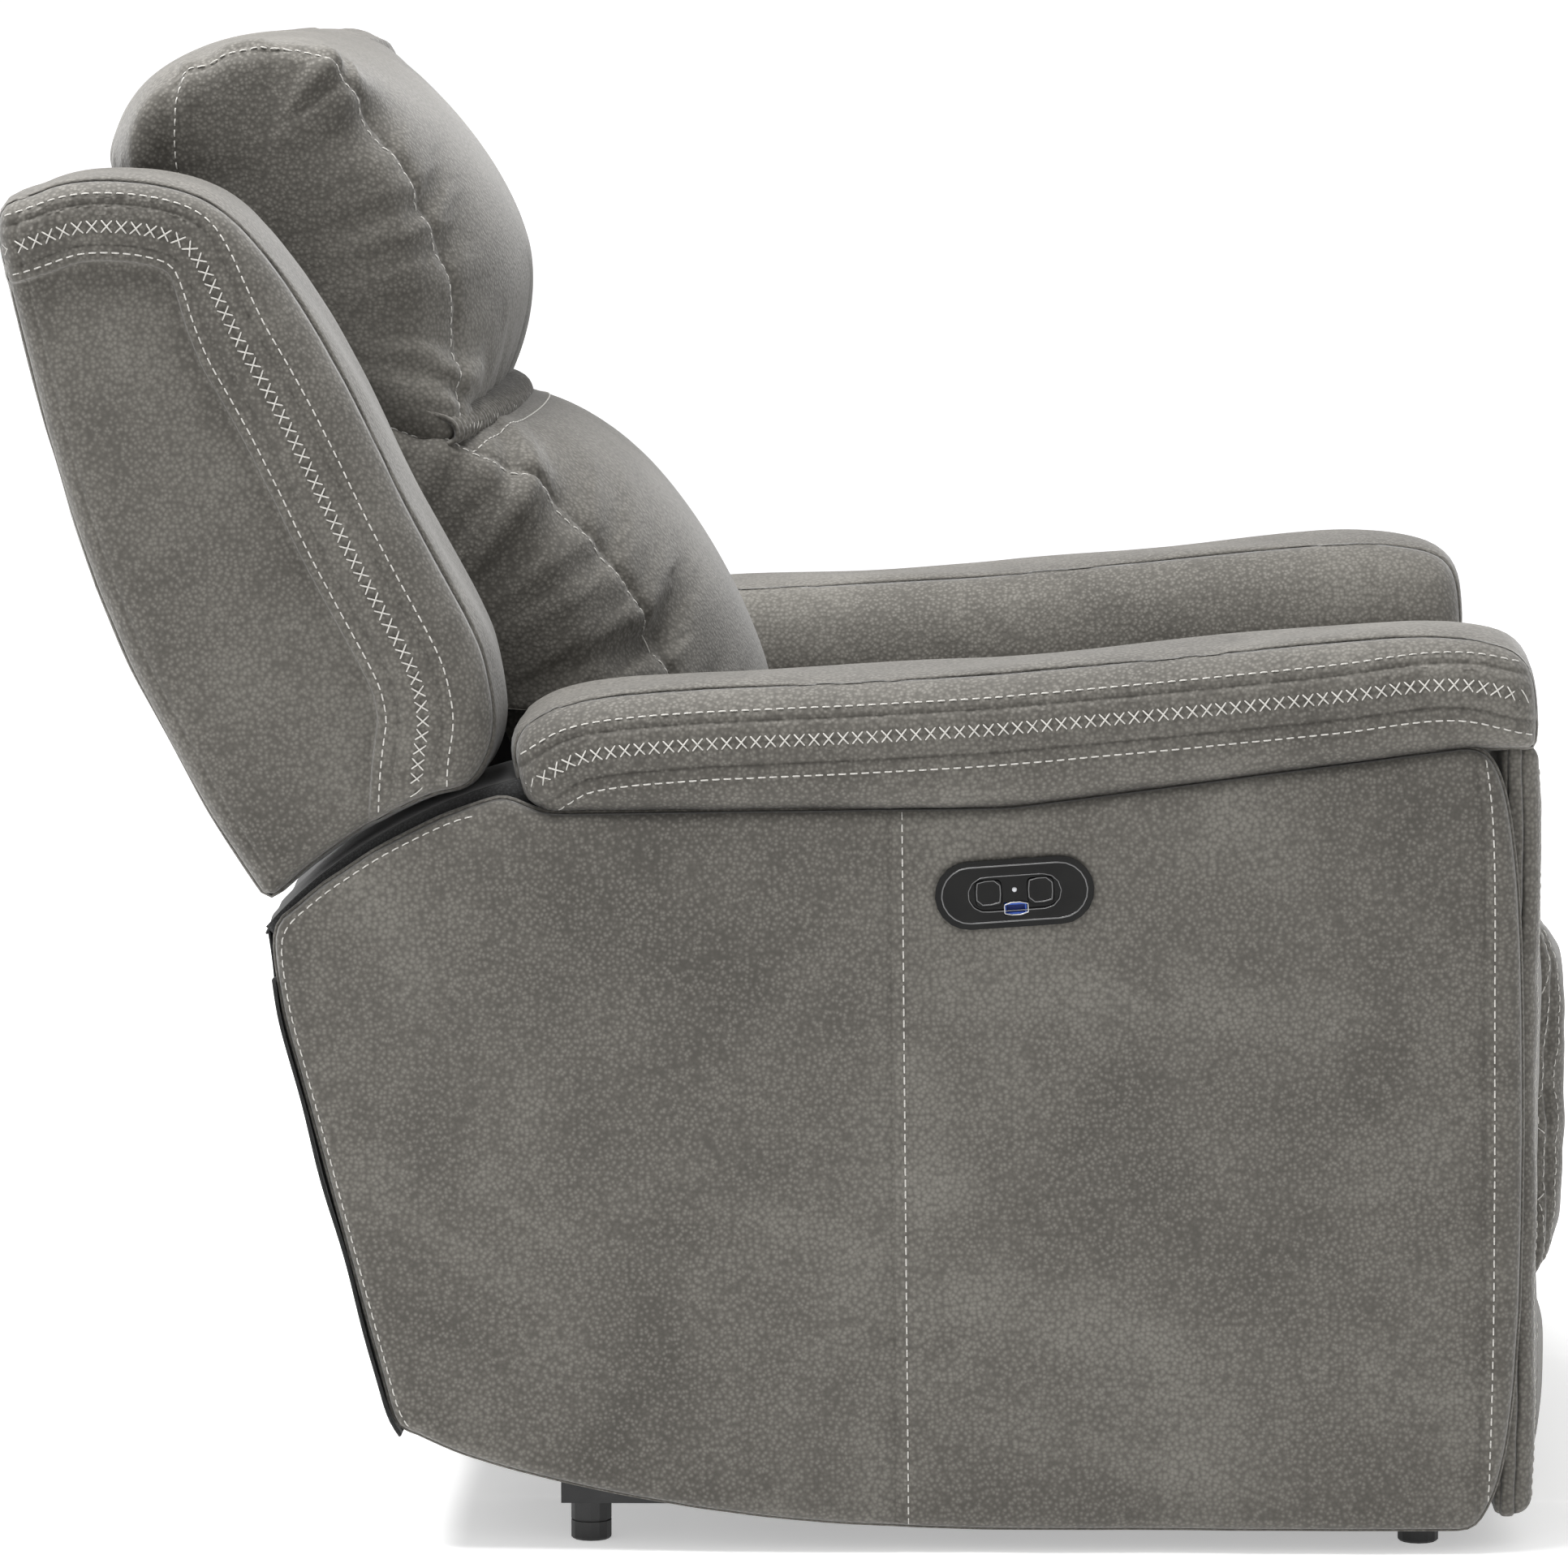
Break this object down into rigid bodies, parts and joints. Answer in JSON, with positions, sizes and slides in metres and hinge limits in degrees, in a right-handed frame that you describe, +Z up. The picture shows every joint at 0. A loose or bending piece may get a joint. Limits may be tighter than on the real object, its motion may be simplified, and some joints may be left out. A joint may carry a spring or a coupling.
{
  "type": "recliner armchair",
  "caption": "Power recliner armchair with padded arms, a winged reclining back, a fold-out footrest and a control panel with buttons and a charging port.",
  "frame": {"origin": "on the floor, under the middle of the whole chair", "axes": "+X is the front of the chair, +Y the sitter's left, +Z up"},
  "size_m": [1.0652, 0.95, 1.018],
  "materials": {
    "leather": "satin",
    "plywood": "matte",
    "black_steel": "satin",
    "bright_steel": "satin",
    "black_plastic": "matte",
    "gloss_black": "gloss",
    "usb_plastic": "matte",
    "black_cloth": "matte"
  },
  "bodies": {
    "base": {"side_panel_right": "leather", "side_panel_left": "leather", "arm_pad_right": "leather", "arm_pad_left": "leather", "arm_front_right": "leather", "arm_front_left": "leather", "arm_inner_right": "leather", "arm_inner_left": "leather", "arm_rail_right": "plywood", "arm_rail_left": "plywood", "control_bezel": "gloss_black", "usb_socket": "usb_plastic", "rear_panel": "black_cloth", "base_rail_right": "black_steel", "base_rail_left": "black_steel", "base_rail_rear": "black_steel", "base_rail_front": "black_steel", "foot_rear_right": "black_plastic", "foot_front_right": "black_plastic", "foot_rear_left": "black_plastic", "foot_front_left": "black_plastic", "mechanism_plate_right": "black_steel", "mechanism_plate_left": "black_steel", "seat_rail_front": "plywood", "seat_rail_rear": "plywood", "seat_spring_1": "bright_steel", "seat_spring_2": "bright_steel", "seat_spring_3": "bright_steel", "seat_cushion": "leather", "motor_housing": "black_plastic", "actuator_rail": "bright_steel", "power_inlet": "black_plastic", "recline_pin_right": "bright_steel", "recline_pin_left": "bright_steel"},
    "back": {"wing_right": "leather", "wing_left": "leather", "back_panel": "leather", "lumbar_cushion": "leather", "head_cushion": "leather", "back_post_right": "plywood", "back_post_left": "plywood", "hinge_plate_right": "black_steel", "hinge_plate_left": "black_steel", "back_rail_lower": "plywood", "back_rail_upper": "plywood"},
    "short_links": {"short_link_right": "black_steel", "short_link_left": "black_steel", "drive_tube": "black_steel"},
    "long_links": {"long_link_right": "black_steel", "long_link_left": "black_steel"},
    "footrest": {"footrest_bracket_right": "black_steel", "footrest_bracket_left": "black_steel", "footrest_board": "plywood", "footrest_pad_upper": "leather", "footrest_pad_lower": "leather"},
    "nut": {"actuator_nut": "black_steel"},
    "drive": {"drive_link": "black_steel"},
    "button_close": {"button_close": "gloss_black"},
    "button_open": {"button_open": "gloss_black"}
  },
  "joints": [
    {"name": "back_recline", "type": "hinge", "parent": "base", "child": "back", "pos_m": [-0.10686, 0, 0.189], "axis": [0, -1, 0], "range_deg": [0, 40]},
    {"name": "footrest_extend", "type": "hinge", "parent": "base", "child": "short_links", "pos_m": [0.29249, 0, 0.33], "axis": [0, -1, 0], "range_deg": [0, 60]},
    {"name": "footrest_knee", "type": "hinge", "parent": "short_links", "child": "long_links", "pos_m": [0.33131, 0, 0.18511], "axis": [0, -1, 0], "range_deg": [-120, 0]},
    {"name": "footrest_turn", "type": "hinge", "parent": "long_links", "child": "footrest", "pos_m": [0.37014, 0, 0.33], "axis": [0, -1, 0], "range_deg": [0, 150]},
    {"name": "actuator_travel", "type": "slide", "parent": "base", "child": "nut", "axis": [1, 0, 0], "range_m": [0, 0.0811]},
    {"name": "drive_link_swing", "type": "hinge", "parent": "nut", "child": "drive", "pos_m": [0.14714, 0, 0.147], "axis": [0, -1, 0], "range_deg": [0, 16.1]},
    {"name": "button_close_press", "type": "slide", "parent": "base", "child": "button_close", "axis": [0, 1, 0], "range_m": [0, 0.001], "stiffness_N_per_m": 600, "springref_m": -0.0005},
    {"name": "button_open_press", "type": "slide", "parent": "base", "child": "button_open", "axis": [0, 1, 0], "range_m": [0, 0.001], "stiffness_N_per_m": 600, "springref_m": -0.0005}
  ],
  "couplings": [
    {"joint": "footrest_knee", "follows": "footrest_extend", "ratio": -2},
    {"joint": "footrest_turn", "follows": "footrest_extend", "ratio": 2.5},
    {"joint": "actuator_travel", "follows": "footrest_extend", "m_per_rad": 0.0774},
    {"joint": "drive_link_swing", "follows": "footrest_extend", "ratio": 0.2667}
  ]
}
